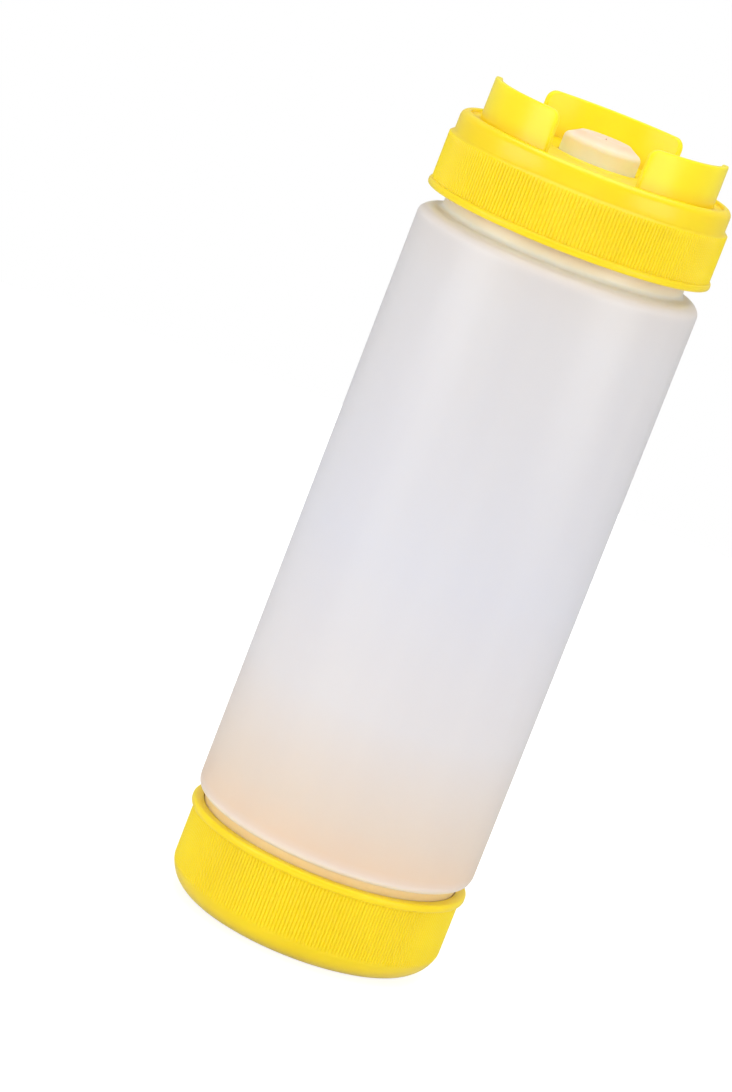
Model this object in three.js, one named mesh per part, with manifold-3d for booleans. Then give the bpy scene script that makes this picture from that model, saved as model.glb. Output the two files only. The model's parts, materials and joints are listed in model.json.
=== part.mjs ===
// Dispensing sauce bottle: a squeeze bottle that is open at both ends, with a screw cap that
// carries a no-drip valve at the top and a screw cap for refilling at the bottom.
// Millimetres, +Z up. The origin is the middle of the refill cap's foot ring, on the surface
// that the bottle stands on. The open side of the crown faces -Y.
import * as THREE from "three";
import { mergeVertices } from "three/addons/utils/BufferGeometryUtils.js";
import Module from "manifold-3d";

const wasm = await Module();
wasm.setup();

// Shared clearances and the fineness of round faces
const seatGap = 0.3; // between pieces that rest on each other
const runningClearance = 0.5; // between a thread's crest and the wall it turns in
const cutOverrun = 0.5; // how far a cut runs past the face that it opens
const joinDepth = 0.4; // how far a moulded feature runs into the wall that carries it
const mergeTolerance = 0.001;
const roundSides = 40;
const arcSteps = 4;
const smallArcSteps = 2;

// Bottle body
const bodyRadius = 33.6;
const bodyHeight = 145.6; // from the lower flat to the shoulder
const bodyWall = 1.2;
const shoulderRadius = 3.7;
const lowerEdgeRadius = 2.4;
const shoulderStep = 4.8; // from the neck out to the body's side
const neckWall = 1.8;
const neckFillet = 1.1;
const neckBandReach = 1.5; // that the wide band under the body reaches into the refill cap's mouth
const neckBandClearance = 0.4; // between that band and the refill cap's bore

// Screw thread, the same on both necks
const threadPitch = 5;
const threadDepth = 1.8;
const threadRootWidth = 2.4;
const threadCrestWidth = 1.2;
const threadStart = 3; // from a neck's rim to the middle of its first thread
const threadTurns = 1.1;
const threadRunOutShare = 0.12; // of a turn, over which each end tapers off
const threadStepsPerTurn = 32;

// Gaskets, the same under both caps
const gasketThickness = 1.5;
const gasketLap = 0.65; // that it covers past the neck's rim on each side
const pocketDepth = 2.4; // of the round pocket that holds a gasket
const pocketLeadIn = 1.3;

// Ribs and lips on both caps
const ribPitch = 0.857;
const ribHeight = 0.4;
const bandHeight = 0.4; // plain band between the ribs and the skirt's other end
const bandStep = 0.15; // that the plain band stands out past the ribs
const lipEdgeRadius = 0.7;

// Dispensing cap
const dispensingGap = 3.1; // between the shoulder and the cap's lip
const dispensingWall = 1.85;
const dispensingLipHeight = 1.8;
const dispensingLipStep = 0.5; // that the lip stands out past the ribs
const skirtHeight = 12.7; // from the lip's lower face to the chamfer
const skirtChamfer = 0.8;
const ringInset = 0.55; // from the bottom of the ribs in to the plain ring
const ringHeight = 5;
const rimRadius = 2; // rounded outer edge of the rim
const rimWidth = 2.1;
const deckRecess = 1; // that the deck lies under the rim
const deckThickness = 1.8;

// Crown of three walls that stand round the valve
const crownHeight = 9; // above the rim
const crownSetback = 2.35; // from the rim in to the crown
const crownThickness = 1.7;
const crownCornerRadius = 2.4;
const crownWalls = 3;
const crownWallAngle = 74; // degrees of the circle that each wall takes
const crownFirstAngle = 90; // the first wall stands at the back
const crownSteps = 8;

// No-drip valve and the ring that holds it
const valveRadius = 9.1;
const valveSetback = 4; // from the crown's top down to the valve's
const valveShoulderDrop = 1.2;
const valveShoulderSlope = 3.4;
const valveWall = 1.2;
const valveFlangeWidth = 3.5;
const valveFlangeThickness = 1.6;
const valveDishRadius = 4.4;
const valveDishDepth = 1.1;
const valveDishBendShare = 0.75; // of its depth, that the dish has half way in to its middle
const valveSlitLength = 7;
const valveSlitWidth = 0.35;
const collarWall = 1.5;
const snapBead = 0.6; // that the collar's bead reaches in under the ring
const snapBeadHeight = 0.9;
const retainerHeight = 2.8;
const retainerWall = 3;
const boreRingWidth = 1.4; // raised ring on the deck round the valve
const boreRingHeight = 0.3;
const valveSides = 32;

// Refill cap
const refillHeight = 21.7; // from the foot ring to the top of the lip
const refillGap = 2.1; // between the lip and the bottle's lower flat
const refillWall = 1.25;
const refillLipHeight = 1.9;
const refillLipStep = 0.95;
const refillCornerRadius = 8;
const refillFloor = 1.8;
const refillCornerWall = 1; // least wall beside the gasket's pocket
const footRecess = 0.8;
const footWidth = 3.6;

// Radii that follow from the body's
const neckRadius = bodyRadius - shoulderStep;
const neckInner = neckRadius - neckWall;
const threadCrestRadius = neckRadius + threadDepth;
const capBore = threadCrestRadius + runningClearance;
const neckBandRadius = capBore - neckBandClearance;
const gasketInner = neckInner - gasketLap;
const gasketOuter = neckRadius + gasketLap;
const pocketRadius = gasketOuter + seatGap;
const flangeRadius = valveRadius + valveFlangeWidth;
const collarBore = flangeRadius + seatGap;

// Heights that follow from the pieces below, and inside the dispensing cap from its own lip
const bodyBase = refillHeight + refillGap;
const dispensingBase = bodyBase + bodyHeight + dispensingGap;
const ringBase = skirtHeight + skirtChamfer;
const rimTop = ringBase + ringHeight;
const deckTop = rimTop - deckRecess;
const deckUnder = deckTop - deckThickness;
const crownTop = rimTop + crownHeight;
const gasketStack = gasketThickness + seatGap + seatGap; // with the gap on each side of it
const upperRim = dispensingBase + deckUnder - gasketStack;
const refillFloorTop = footRecess + refillFloor;
const lowerRim = refillFloorTop + gasketStack;

// How far a cap's thread stands from the neck's when the cap is tight: half of both threads
// where they pass each other, and the gap between them.
const threadSlope = (threadRootWidth - threadCrestWidth) / threadDepth;
const threadsWidth = threadRootWidth + threadRootWidth - threadSlope * (capBore - neckRadius);
const threadOffset = threadsWidth / 2 + seatGap;
const threadRise = threadPitch * threadTurns;

function radians(degrees) {
  return (degrees * Math.PI) / 180;
}

// Points on an arc in the plane of a profile, angles in degrees.
function arc(centreR, centreZ, radius, from, to, steps = arcSteps) {
  const points = [];
  for (let i = 0; i <= steps; i++) {
    const angle = radians(from + ((to - from) * i) / steps);
    points.push([centreR + radius * Math.cos(angle), centreZ + radius * Math.sin(angle)]);
  }
  return points;
}

// A solid from a closed geometry.
function solid(geometry) {
  geometry.deleteAttribute("normal");
  geometry.deleteAttribute("uv");
  const merged = mergeVertices(geometry, mergeTolerance);
  const corners = merged.index.array;
  const triVerts = [];
  for (let i = 0; i < corners.length; i += 3) {
    const [a, b, c] = corners.slice(i, i + 3);
    if (a !== b && b !== c && c !== a) triVerts.push(a, b, c);
  }
  const vertProperties = merged.attributes.position.array;
  return new wasm.Manifold(
    new wasm.Mesh({ numProp: 3, vertProperties, triVerts: new Uint32Array(triVerts) }),
  );
}

// A turned form from [radius, height] points that run anticlockwise. A profile that isn't closed
// starts and ends on the axis.
function turned(points, sides = roundSides, closed = false) {
  const profile = (closed ? [...points, points[0]] : points).map(([r, z]) => new THREE.Vector2(r, z));
  return solid(new THREE.LatheGeometry(profile, sides).rotateX(Math.PI / 2));
}

// A form that joins rings of four points, each ring anticlockwise as seen from the next one.
function lofted(rings) {
  const vertices = rings.flat(2);
  const faces = [];
  const side = 4;
  for (let ring = 0; ring < rings.length - 1; ring++) {
    for (let k = 0; k < side; k++) {
      const here = ring * side + k;
      const next = ring * side + ((k + 1) % side);
      faces.push(here, next, next + side, here, next + side, here + side);
    }
  }
  const last = (rings.length - 1) * side;
  faces.push(0, 2, 1, 0, 3, 2, last, last + 1, last + 2, last, last + 2, last + 3);
  const geometry = new THREE.BufferGeometry();
  geometry.setAttribute("position", new THREE.Float32BufferAttribute(vertices, 3));
  geometry.setIndex(faces);
  return solid(geometry);
}

function polar(radius, angle, z) {
  return [radius * Math.cos(angle), radius * Math.sin(angle), z];
}

// A right-hand thread that stands on a wall, outwards (facing 1) or inwards (facing -1), from
// the middle of its lower end. It tapers off at both ends.
function thread(wallRadius, base, facing) {
  const rings = [];
  const steps = Math.round(threadTurns * threadStepsPerTurn);
  for (let i = 0; i <= steps; i++) {
    const turn = (threadTurns * i) / steps;
    const full = Math.min(1, turn / threadRunOutShare, (threadTurns - turn) / threadRunOutShare);
    const angle = turn * 2 * Math.PI;
    const middle = base + turn * threadPitch;
    const foot = wallRadius - facing * joinDepth;
    const crest = wallRadius + facing * threadDepth * full;
    const crestHalf = threadCrestWidth / 2;
    const footHalf = threadRootWidth / 2;
    const low = [polar(foot, angle, middle - footHalf), polar(crest, angle, middle - crestHalf)];
    const high = [polar(crest, angle, middle + crestHalf), polar(foot, angle, middle + footHalf)];
    const ring = [...low, ...high];
    rings.push(facing > 0 ? ring.reverse() : ring);
  }
  return lofted(rings);
}

// A band of upright ribs round a skirt, solid to the axis.
function ribs(rootRadius, base, top) {
  const crestRadius = rootRadius + ribHeight;
  const count = Math.round((2 * Math.PI * crestRadius) / ribPitch);
  const outline = new THREE.Shape();
  for (let i = 0; i < 2 * count; i++) {
    const [x, y] = polar(i % 2 ? crestRadius : rootRadius, (i * Math.PI) / count, 0);
    if (i) outline.lineTo(x, y);
    else outline.moveTo(x, y);
  }
  const band = new THREE.ExtrudeGeometry(outline, { depth: top - base, bevelEnabled: false });
  return solid(band.translate(0, 0, base));
}

// A lip with rounded edges, solid to the axis.
function lip(radius, base, height) {
  const edge = Math.min(lipEdgeRadius, height / 2);
  return turned([
    [0, base],
    ...arc(radius - edge, base + edge, edge, -90, 0, smallArcSteps),
    ...arc(radius - edge, base + height - edge, edge, 0, 90, smallArcSteps),
    [0, base + height],
  ]);
}

// One wall of the crown, bent round the axis, with rounded upper corners.
function crownWall(middleAngle) {
  const outer = rimInner - crownSetback;
  const inner = outer - crownThickness;
  const half = radians(crownWallAngle) / 2;
  const corner = crownCornerRadius / outer; // as an angle at the axis
  const offsets = [];
  for (let i = 0; i <= arcSteps; i++) {
    offsets.push(-half + corner * (1 - Math.cos((i * Math.PI) / 2 / arcSteps)));
  }
  for (let i = 1; i < crownSteps; i++) {
    offsets.push(-half + corner + ((half - corner) * 2 * i) / crownSteps);
  }
  for (let i = arcSteps; i >= 0; i--) {
    offsets.push(half - corner * (1 - Math.cos((i * Math.PI) / 2 / arcSteps)));
  }
  const rings = offsets.map((offset) => {
    const toEnd = Math.min(1, (half - Math.abs(offset)) / corner);
    const drop = crownCornerRadius * (1 - Math.sqrt(Math.max(0, 1 - (1 - toEnd) ** 2)));
    const top = crownTop - drop;
    const angle = radians(middleAngle) + offset;
    const foot = deckTop - joinDepth;
    return [
      polar(inner, angle, foot),
      polar(inner, angle, top),
      polar(outer, angle, top),
      polar(outer, angle, foot),
    ];
  });
  return lofted(rings);
}

function flatRing(inner, outer, height) {
  const profile = [
    [inner, 0],
    [outer, 0],
    [outer, height],
    [inner, height],
  ];
  return turned(profile, roundSides, true);
}

// Bottle body, from its lower flat
function makeBottle() {
  const lowest = lowerRim - bodyBase;
  const highest = upperRim - bodyBase;
  const inside = bodyRadius - bodyWall;
  const shoulder = Math.min(shoulderRadius, shoulderStep - neckFillet);
  const lowerEdge = Math.min(lowerEdgeRadius, bodyRadius - neckBandRadius);
  const bandFoot = -refillGap - neckBandReach;
  const bandLeadIn = (neckBandRadius - neckRadius) / 2;
  const innerShoulder = Math.max(shoulder - bodyWall, joinDepth);
  const innerEdge = Math.max(lowerEdge - bodyWall, joinDepth);
  const walls = [
    [neckInner, lowest],
    [neckRadius, lowest],
    [neckRadius, bandFoot - bandLeadIn],
    [neckBandRadius, bandFoot],
    [neckBandRadius, 0],
    ...arc(bodyRadius - lowerEdge, lowerEdge, lowerEdge, -90, 0),
    ...arc(bodyRadius - shoulder, bodyHeight - shoulder, shoulder, 0, 90),
    ...arc(neckRadius + neckFillet, bodyHeight + neckFillet, neckFillet, -90, -180, smallArcSteps),
    [neckRadius, highest],
    [neckInner, highest],
    [neckInner, bodyHeight - bodyWall],
    ...arc(inside - innerShoulder, bodyHeight - bodyWall - innerShoulder, innerShoulder, 90, 0),
    ...arc(inside - innerEdge, bodyWall + innerEdge, innerEdge, 0, -90),
    [neckInner, bodyWall],
  ];
  return turned(walls, roundSides, true)
    .add(thread(neckRadius, highest - threadStart - threadRise, 1))
    .add(thread(neckRadius, lowest + threadStart, 1));
}

// Dispensing cap, from the lower face of its lip
const skirtRoot = capBore + dispensingWall;
const ringRadius = skirtRoot - ringInset;
const rimInner = ringRadius - rimWidth;
const collarHeight = seatGap * 3 + valveFlangeThickness + retainerHeight + snapBeadHeight;

function makeDispensingCap() {
  const rimEdge = Math.min(rimRadius, rimWidth, ringHeight);
  const ribCrest = skirtRoot + ribHeight;
  const core = skirtRoot - joinDepth; // the ribs' band makes the face outside it
  const ribTop = skirtHeight - bandHeight;
  const form = turned([
    [0, dispensingLipHeight / 2],
    [core, dispensingLipHeight / 2],
    [core, ribTop],
    [ribCrest + bandStep, ribTop],
    [ribCrest + bandStep, skirtHeight],
    [ringRadius, ringBase],
    ...arc(ringRadius - rimEdge, rimTop - rimEdge, rimEdge, 0, 90),
    [rimInner, rimTop],
    [rimInner, deckTop],
    [0, deckTop],
  ]);
  const boreRingOuter = valveRadius + seatGap + boreRingWidth;
  const boreRing = turned([
    [0, deckTop - joinDepth],
    [boreRingOuter, deckTop - joinDepth],
    [boreRingOuter, deckTop],
    [boreRingOuter - boreRingHeight, deckTop + boreRingHeight],
    [0, deckTop + boreRingHeight],
  ]);
  const cavity = turned([
    [0, -cutOverrun],
    [capBore, -cutOverrun],
    [capBore, deckUnder - pocketDepth - pocketLeadIn],
    [pocketRadius, deckUnder - pocketDepth],
    [pocketRadius, deckUnder],
    [0, deckUnder],
  ]);
  const valveHole = turned([
    [0, deckUnder - cutOverrun],
    [valveRadius + seatGap, deckUnder - cutOverrun],
    [valveRadius + seatGap, deckTop + boreRingHeight + cutOverrun],
    [0, deckTop + boreRingHeight + cutOverrun],
  ]);
  const collarFoot = deckUnder - collarHeight;
  const collar = turned(
    [
      [collarBore, collarFoot],
      [collarBore + collarWall, collarFoot],
      [collarBore + collarWall, deckUnder + joinDepth],
      [collarBore, deckUnder + joinDepth],
      [collarBore, collarFoot + snapBeadHeight],
      [collarBore - snapBead, collarFoot + snapBeadHeight / 2],
    ],
    roundSides,
    true,
  );
  let cap = form
    .add(ribs(skirtRoot, dispensingLipHeight / 2, ribTop + bandHeight / 2))
    .add(lip(ribCrest + dispensingLipStep, 0, dispensingLipHeight))
    .add(boreRing)
    .subtract(cavity)
    .subtract(valveHole)
    .add(collar);
  const neckThreadBase = upperRim - dispensingBase - threadStart - threadRise;
  cap = cap.add(thread(capBore, neckThreadBase - threadOffset, -1));
  for (let i = 0; i < crownWalls; i++) {
    cap = cap.add(crownWall(crownFirstAngle + (360 * i) / crownWalls));
  }
  return cap;
}

// Valve, from the lower face of its flange
const flangeBase = deckUnder - seatGap - valveFlangeThickness;
const valveHeight = crownTop - valveSetback - flangeBase;

function makeValve() {
  const inner = valveRadius - valveWall;
  const flat = valveRadius - valveShoulderSlope;
  const shoulder = valveHeight - valveShoulderDrop;
  const bend = valveWall / 2; // rounds the turn into the sloping shoulder
  const dish = Math.min(valveDishRadius, flat - bend);
  const form = turned(
    [
      [inner, 0],
      [flangeRadius, 0],
      [flangeRadius, valveFlangeThickness],
      [valveRadius, valveFlangeThickness],
      [valveRadius, shoulder - bend],
      [valveRadius - bend / 2, shoulder],
      [flat + bend, valveHeight - bend / 2],
      [flat, valveHeight],
      [dish, valveHeight],
      [dish / 2, valveHeight - valveDishDepth * valveDishBendShare],
      [0, valveHeight - valveDishDepth],
      [0, valveHeight - valveDishDepth - valveWall],
      [dish, valveHeight - valveDishDepth - valveWall],
      [inner, shoulder - valveWall],
    ],
    valveSides,
    true,
  );
  const slitDepth = valveDishDepth + valveWall + cutOverrun + cutOverrun;
  const slit = new THREE.BoxGeometry(valveSlitLength, valveSlitWidth, slitDepth);
  slit.translate(0, 0, valveHeight + cutOverrun - slitDepth / 2);
  return form.subtract(solid(slit.clone())).subtract(solid(slit.clone().rotateZ(Math.PI / 2)));
}

// Refill cap, from the surface that it stands on
function makeRefillCap() {
  const root = capBore + refillWall;
  const band = root + ribHeight + bandStep;
  const lipRadius = root + ribHeight + refillLipStep;
  // The lower corner is no rounder than leaves a wall beside the gasket's pocket.
  const inset = band - pocketRadius - refillCornerWall;
  const largest = inset + refillFloorTop + Math.sqrt(2 * inset * refillFloorTop);
  const corner = Math.min(refillCornerRadius, largest);
  const core = root - joinDepth;
  const ribBase = corner + bandHeight;
  const lipBase = refillHeight - refillLipHeight;
  const form = turned([
    [0, 0],
    ...arc(band - corner, corner, corner, -90, 0),
    [band, ribBase],
    [core, ribBase],
    [core, refillHeight - refillLipHeight / 2],
    [0, refillHeight - refillLipHeight / 2],
  ]);
  const foot = band - corner - footWidth;
  const recess = turned([
    [0, -cutOverrun],
    [foot, -cutOverrun],
    [foot, 0],
    [foot - footRecess, footRecess],
    [0, footRecess],
  ]);
  const cavity = turned([
    [0, refillFloorTop],
    [pocketRadius, refillFloorTop],
    [pocketRadius, refillFloorTop + pocketDepth],
    [capBore, refillFloorTop + pocketDepth + pocketLeadIn],
    [capBore, refillHeight + cutOverrun],
    [0, refillHeight + cutOverrun],
  ]);
  return form
    .add(ribs(root, ribBase - bandHeight / 2, lipBase + refillLipHeight / 2))
    .add(lip(lipRadius, lipBase, refillLipHeight))
    .subtract(recess)
    .subtract(cavity)
    .add(thread(capBore, lowerRim + threadStart + threadOffset, -1));
}

function plastic(color, roughness, opacity = 1) {
  return new THREE.MeshStandardMaterial({
    color,
    roughness,
    metalness: 0,
    opacity,
    transparent: opacity < 1,
  });
}

const yellowPlastic = plastic(0xf8dc28, 0.42);
const clearPlastic = plastic(0xe4e0dd, 0.5, 0.85);
const siliconeRubber = plastic(0xf6d9ae, 0.6);
const naturalPlastic = plastic(0xf2efe6, 0.5);
const gasketRubber = plastic(0xdcd6c8, 0.75);

// A named mesh in a group, raised to where its own foot stands there.
function place(group, name, made, material, z = 0) {
  const { vertProperties, triVerts, numProp } = made.getMesh();
  const geometry = new THREE.BufferGeometry();
  geometry.setAttribute("position", new THREE.BufferAttribute(vertProperties, numProp));
  geometry.setIndex(new THREE.BufferAttribute(triVerts, 1));
  const mesh = new THREE.Mesh(geometry.toNonIndexed(), material);
  mesh.geometry.computeVertexNormals();
  mesh.name = name;
  mesh.position.z = z;
  group.add(mesh);
}

const bottle = new THREE.Group();
place(bottle, "bottle_body", makeBottle(), clearPlastic, bodyBase);

const dispensing = new THREE.Group();
dispensing.position.z = dispensingBase;
place(dispensing, "dispensing_cap", makeDispensingCap(), yellowPlastic);
place(dispensing, "no_drip_valve", makeValve(), siliconeRubber, flangeBase);
const retainer = flatRing(flangeRadius - retainerWall, flangeRadius, retainerHeight);
const retainerBase = flangeBase - seatGap - retainerHeight;
place(dispensing, "valve_retaining_ring", retainer, naturalPlastic, retainerBase);
const upperGasket = flatRing(gasketInner, gasketOuter, gasketThickness);
const upperGasketBase = deckUnder - seatGap - gasketThickness;
place(dispensing, "dispensing_cap_gasket", upperGasket, gasketRubber, upperGasketBase);
bottle.add(dispensing);

const refill = new THREE.Group();
place(refill, "refill_cap", makeRefillCap(), yellowPlastic);
const lowerGasket = flatRing(gasketInner, gasketOuter, gasketThickness);
place(refill, "refill_cap_gasket", lowerGasket, gasketRubber, refillFloorTop + seatGap);
bottle.add(refill);

export default bottle;
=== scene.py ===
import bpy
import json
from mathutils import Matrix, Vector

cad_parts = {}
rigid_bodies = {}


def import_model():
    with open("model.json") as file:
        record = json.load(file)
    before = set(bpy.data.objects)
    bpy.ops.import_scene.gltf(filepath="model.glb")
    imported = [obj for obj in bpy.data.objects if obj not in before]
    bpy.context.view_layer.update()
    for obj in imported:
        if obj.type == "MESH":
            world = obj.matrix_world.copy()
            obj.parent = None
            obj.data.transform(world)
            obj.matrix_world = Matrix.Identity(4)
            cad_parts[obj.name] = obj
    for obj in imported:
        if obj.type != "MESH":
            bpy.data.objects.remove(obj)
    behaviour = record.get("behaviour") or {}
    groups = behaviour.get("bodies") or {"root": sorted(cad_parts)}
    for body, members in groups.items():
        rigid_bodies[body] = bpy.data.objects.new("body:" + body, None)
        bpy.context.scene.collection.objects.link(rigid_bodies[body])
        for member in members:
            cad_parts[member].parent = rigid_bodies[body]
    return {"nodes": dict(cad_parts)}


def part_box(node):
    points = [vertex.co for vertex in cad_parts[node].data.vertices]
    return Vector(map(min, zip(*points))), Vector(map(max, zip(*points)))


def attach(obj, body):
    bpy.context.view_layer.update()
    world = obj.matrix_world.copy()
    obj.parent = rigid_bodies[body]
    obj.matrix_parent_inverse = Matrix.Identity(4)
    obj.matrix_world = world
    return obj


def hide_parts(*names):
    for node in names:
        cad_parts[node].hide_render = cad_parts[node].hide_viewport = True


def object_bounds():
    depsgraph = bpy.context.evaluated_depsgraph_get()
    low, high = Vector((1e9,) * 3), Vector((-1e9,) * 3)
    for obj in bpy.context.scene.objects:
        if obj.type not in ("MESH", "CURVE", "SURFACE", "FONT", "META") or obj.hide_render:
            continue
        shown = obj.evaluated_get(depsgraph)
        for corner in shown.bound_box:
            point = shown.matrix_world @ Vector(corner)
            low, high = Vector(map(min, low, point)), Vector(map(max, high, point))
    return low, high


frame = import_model()
cad_box = [list(corner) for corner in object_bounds()]
print("pieces in the frame:", ", ".join(sorted(frame["nodes"])))

# %% [markdown]
# # A squeeze bottle with a screw cap at each end
#
# The real bottle is blown from soft, milky plastic and is open at both ends. A yellow screw cap
# at the top carries a peach silicone valve inside a crown of three walls, and a second yellow
# screw cap closes the bottom, where the bottle is filled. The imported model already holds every
# piece at its true size, with flat facets. This lesson gives each piece its fine surface and its
# finish, inside the same box.
#
# Blender works in metres, so a named length in millimetres is multiplied by `mm`.

# %% Tools and units
import json
import math

import bpy
import numpy as np
from mathutils import Matrix, Vector

mm = 0.001
scene = bpy.context.scene
scene.view_settings.view_transform = "Standard"
print("object height in mm:", round((cad_box[1][2] - cad_box[0][2]) / mm, 2))

# %% [markdown]
# ## The camera
#
# The photograph was taken from about a metre away and a little above, with the bottle leaning
# to the right in the picture. The bottle itself stands upright here, so the lean is a roll of
# the camera about its own line of sight. Three turns give the direction: one about the upright
# axis, one down towards the bottle, and the roll. A long lens at that distance keeps the level
# edges of the caps as flat ellipses, as the photograph shows them. The camera also stands a
# little to the right of the crown's open side, which moves the two front walls a trifle left.

# %% Camera
camera_place = (0.0, -0.98, 0.2839)
camera_round = math.radians(1.2)
camera_turn = math.radians(0.998)
camera_dip = math.radians(11.215)
camera_roll = math.radians(21.209)
lens_mm = 144.4
sensor_mm = 36

lens = bpy.data.cameras.new("camera")
lens.lens = lens_mm
lens.sensor_width = sensor_mm
camera = bpy.data.objects.new("camera", lens)
scene.collection.objects.link(camera)
around = Matrix.Rotation(camera_round, 4, "Z")
turn = Matrix.Rotation(camera_turn, 4, "Z")
tip = Matrix.Rotation(math.pi / 2 - camera_dip, 4, "X")
roll = Matrix.Rotation(camera_roll, 4, "Z")
camera.matrix_world = around @ Matrix.Translation(camera_place) @ turn @ tip @ roll
scene.camera = camera
print("camera dips", round(math.degrees(camera_dip), 1), "degrees towards the bottle")

# %% [markdown]
# ## A skin made of rings
#
# Every piece of this bottle is round, so each can be drawn as rings of points about the upright
# axis, joined one ring to the next like the courses of a tower. Blender's Spin and Screw tools
# do this for a plain outline. Rings made in code can do more: one ring can carry ribs, a thread
# or a wall of the crown, because each of its points may have its own radius and height.
#
# Two neighbouring rings may also have different numbers of points. Then triangles zip them
# together, so a band of fine ribs can sit between two smooth bands without wasting points there.
# The last ring is joined to the first, which closes the skin, so that each piece is one solid.

# %% Even angles round the axis
full_turn = 2 * math.pi
smooth_points = 192


def circle(count):
    return np.arange(count) * full_turn / count


smooth = circle(smooth_points)
print("points on a smooth ring:", len(smooth))


# %% Rings joined into a skin
class Skin:
    """Rings that run anticlockwise round a piece's outline, outwards side first."""

    def __init__(self):
        self.points = []
        self.faces = []
        self.rings = []

    def size(self):
        return sum(len(block) for block in self.points)

    def ring(self, radius, height, angles=smooth):
        start = self.size()
        radius = np.broadcast_to(radius, angles.shape)
        height = np.broadcast_to(height, angles.shape)
        place = (radius * np.cos(angles), radius * np.sin(angles), height)
        self.points.append(np.column_stack(place) * mm)
        self.rings.append((start, angles))
        if len(self.rings) > 1:
            self.join(self.rings[-2], self.rings[-1])

    def rows(self, outline):
        for radius, height in outline:
            self.ring(radius, height)

    def join(self, lower, upper):
        a, low_angles = lower
        b, high_angles = upper
        if len(low_angles) == len(high_angles) and np.allclose(low_angles, high_angles):
            here = np.arange(len(low_angles))
            there = np.roll(here, -1)
            self.faces += np.column_stack([a + here, a + there, b + there, b + here]).tolist()
        else:
            self.faces += zipped(a, low_angles, b, high_angles)

    def close(self):
        self.join(self.rings[-1], self.rings[0])

    def pole(self, ring, height):
        """Closes one end of the skin on the axis, with the pole's faces turned outwards."""
        start, angles = self.rings[ring]
        middle = self.size()
        self.points.append(np.array([[0, 0, height * mm]]))
        here = start + np.arange(len(angles))
        there = np.roll(here, -1)
        if ring == 0:
            here, there = there, here
        self.faces += np.column_stack([here, there, np.full(len(here), middle)]).tolist()

    def made(self, name):
        mesh = bpy.data.meshes.new(name)
        mesh.from_pydata(np.vstack(self.points).tolist(), [], self.faces)
        piece = bpy.data.objects.new(name, mesh)
        scene.collection.objects.link(piece)
        return softened(piece)


# %% Zip two rings that have different points
def zipped(a, low_angles, b, high_angles):
    low = np.append(low_angles, low_angles[0] + full_turn)
    high = np.append(high_angles, high_angles[0] + full_turn)
    last_low = len(low_angles)
    last_high = len(high_angles)
    faces = []
    i = j = 0
    while i < last_low or j < last_high:
        corner_low = a + i % last_low
        corner_high = b + j % last_high
        if j == last_high or (i < last_low and low[i + 1] <= high[j + 1]):
            i += 1
            faces.append([corner_low, a + i % last_low, corner_high])
        else:
            j += 1
            faces.append([corner_low, b + j % last_high, corner_high])
    return faces


# %% Smooth faces that stay crisp at the edges
crisp_angle = math.radians(38)


def softened(piece):
    piece.data.validate()
    piece.data.shade_smooth()
    piece.data.set_sharp_from_angle(angle=crisp_angle)
    return piece


print("edges stay crisp from", round(math.degrees(crisp_angle)), "degrees up")


# %% A stretch of outline that follows a round corner
def arc(centre, height, radius, start, end, steps=6):
    """Points on an arc, angles in degrees, 0 outwards and 90 upwards."""
    bends = np.radians(np.linspace(start, end, steps + 1))
    return [(centre + radius * math.cos(b), height + radius * math.sin(b)) for b in bends]


print("points on a quarter bend:", len(arc(0, 0, 1, 0, 90)))

# %% [markdown]
# ## A material from noise
#
# Moulded plastic is never one flat colour. It has slow shifts of shade where it flowed, a skin
# that is a little duller in places, and a very fine unevenness that breaks up reflections. Each
# finish below starts from one helper that builds those three with Noise textures: one tints the
# colour, one changes the roughness and one feeds a Bump node. The noise reads object coordinates,
# so it is in real size and moves with its piece.
#
# Values that are the same all over a piece, such as the scattering of light inside it, are set
# straight on the Principled shader's own inputs.


# %% Colours as a picture program shows them
def linear(red, green, blue):
    """The shader wants linear light, and a colour picked on a screen isn't linear."""
    shares = [value / 255 for value in (red, green, blue)]
    return tuple(s / 12.92 if s <= 0.04045 else ((s + 0.055) / 1.055) ** 2.4 for s in shares)


print("mid grey in linear light:", round(linear(128, 128, 128)[0], 3))


# %% A helper for noise in real size
def noise(nodes, links, size, detail, stretch=(1, 1, 1)):
    """Noise whose blotches are about one size across, in metres."""
    place = nodes.new("ShaderNodeTexCoord")
    scale = nodes.new("ShaderNodeMapping")
    scale.inputs["Scale"].default_value = stretch
    texture = nodes.new("ShaderNodeTexNoise")
    texture.inputs["Scale"].default_value = 1 / size
    texture.inputs["Detail"].default_value = detail
    links.new(place.outputs["Object"], scale.inputs["Vector"])
    links.new(scale.outputs["Vector"], texture.inputs["Vector"])
    return texture.outputs["Fac"]


# %% The common base of every finish
darker_at = 0.35
lighter_at = 0.65
dull_share = 1 / 3
soft_detail = 2
dull_detail = 3


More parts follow.
